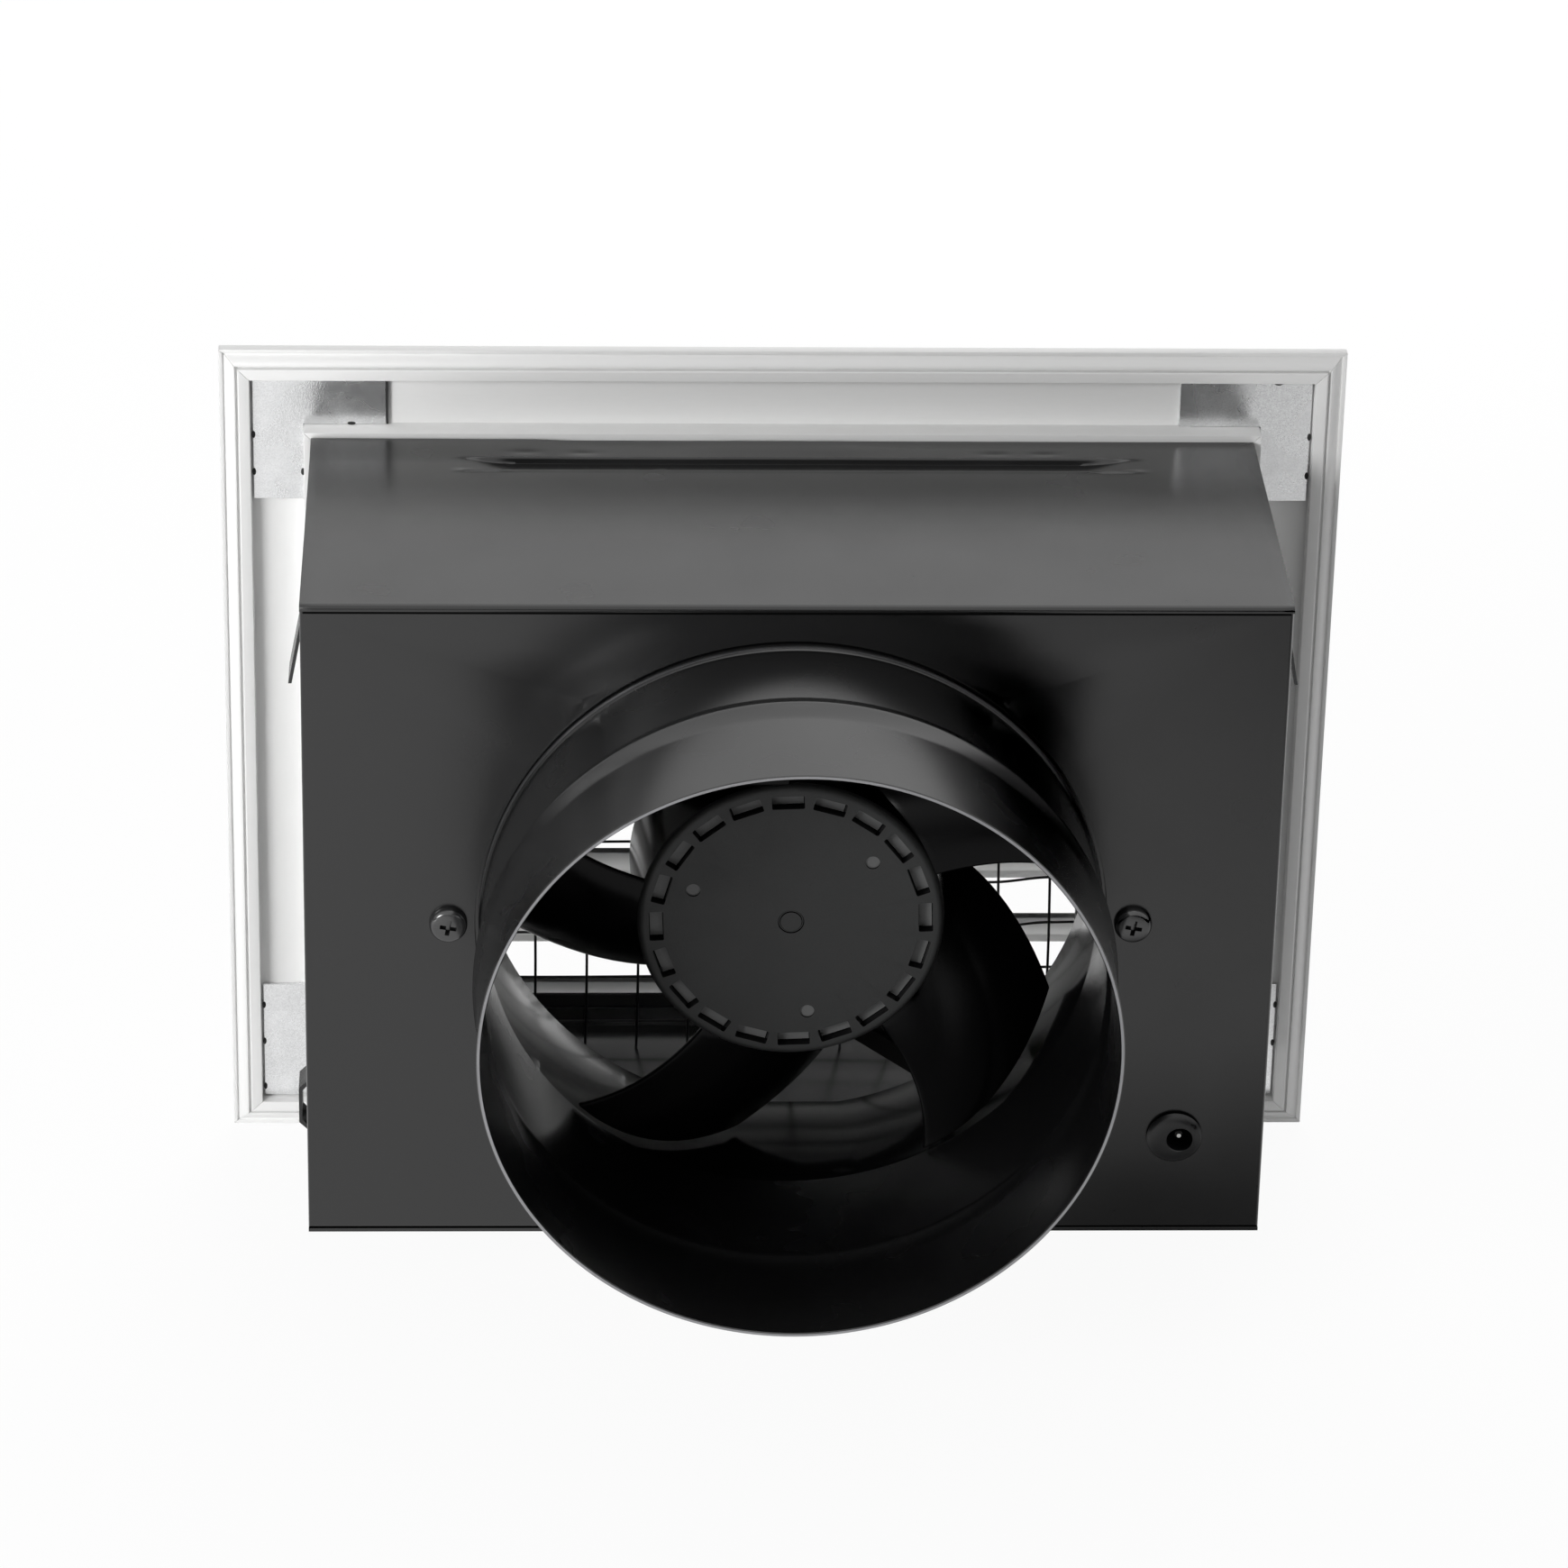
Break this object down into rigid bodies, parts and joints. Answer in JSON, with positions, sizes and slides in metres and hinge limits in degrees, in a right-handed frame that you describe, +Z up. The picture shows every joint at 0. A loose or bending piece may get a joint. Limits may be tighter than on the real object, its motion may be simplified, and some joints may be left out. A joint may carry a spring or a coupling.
{
  "type": "subfloor fan",
  "caption": "Ducted subfloor fan: a black sheet steel case with a round duct collar and a compact axial fan, closed by a white louvre frame that sits on the wall.",
  "frame": {"origin": "on the duct axis, in the wall plane that the frame's ridge touches", "axes": "+X along the width, -Y along the duct collar into the wall, +Y out through the louvres, +Z up"},
  "size_m": [0.2744, 0.1719, 0.2177],
  "materials": {
    "white_frame": "satin white powder coat on extruded aluminium",
    "zinc_plate": "speckled zinc plating",
    "mesh_wire": "dark coated welded wire",
    "black_sheet": "fine matt black powder coat on sheet steel",
    "black_collar": "satin black powder coat, rubbed bright on the rim",
    "fan_plastic": "glossy black moulded plastic",
    "rotor_plastic": "spark-textured black on the hub, smoother on the blades",
    "black_screw": "glossy black zinc",
    "bare_steel": "ground steel",
    "ferrite": "rubber-bonded ferrite",
    "core_steel": "stacked laminations",
    "copper_wire": "enamelled copper windings",
    "board_green": "solder mask on glass laminate",
    "chip_black": "moulded chip packages",
    "inlet_plastic": "fine matt black plastic",
    "pin_plating": "bright nickel plating",
    "lead_sheath": "soft black sheath"
  },
  "bodies": {
    "body": {"frame_rail_top": "white_frame", "frame_rail_bottom": "white_frame", "frame_rail_left": "white_frame", "frame_rail_right": "white_frame", "corner_keys": "zinc_plate", "louvre_blades": "white_frame", "louvre_stiles": "white_frame", "louvre_supports": "white_frame", "mesh_screen": "mesh_wire", "screen_frame": "black_sheet", "rear_case": "black_sheet", "top_panel": "black_sheet", "bottom_panel": "black_sheet", "inner_sill": "black_sheet", "air_tray": "black_sheet", "duct_collar": "black_collar", "fan_housing": "fan_plastic", "fan_screws": "black_screw", "fan_nuts": "zinc_plate", "front_bearing": "bare_steel", "rear_bearing": "bare_steel", "preload_washer": "bare_steel", "stator_core": "core_steel", "stator_windings": "copper_wire", "circuit_board": "board_green", "board_parts": "chip_black", "jack_body": "inlet_plastic", "jack_nut": "zinc_plate", "jack_pin": "pin_plating", "jack_terminals": "pin_plating", "motor_lead": "lead_sheath", "lead_clip": "fan_plastic"},
    "impeller": {"impeller": "rotor_plastic", "rotor_cup": "bare_steel", "rotor_magnet": "ferrite", "motor_shaft": "bare_steel", "retaining_clip": "bare_steel"}
  },
  "joints": [
    {"name": "impeller_spin", "type": "hinge", "parent": "body", "child": "impeller", "pos_m": [0, -0.08, 0], "axis": [0, 1, 0], "continuous": true}
  ]
}
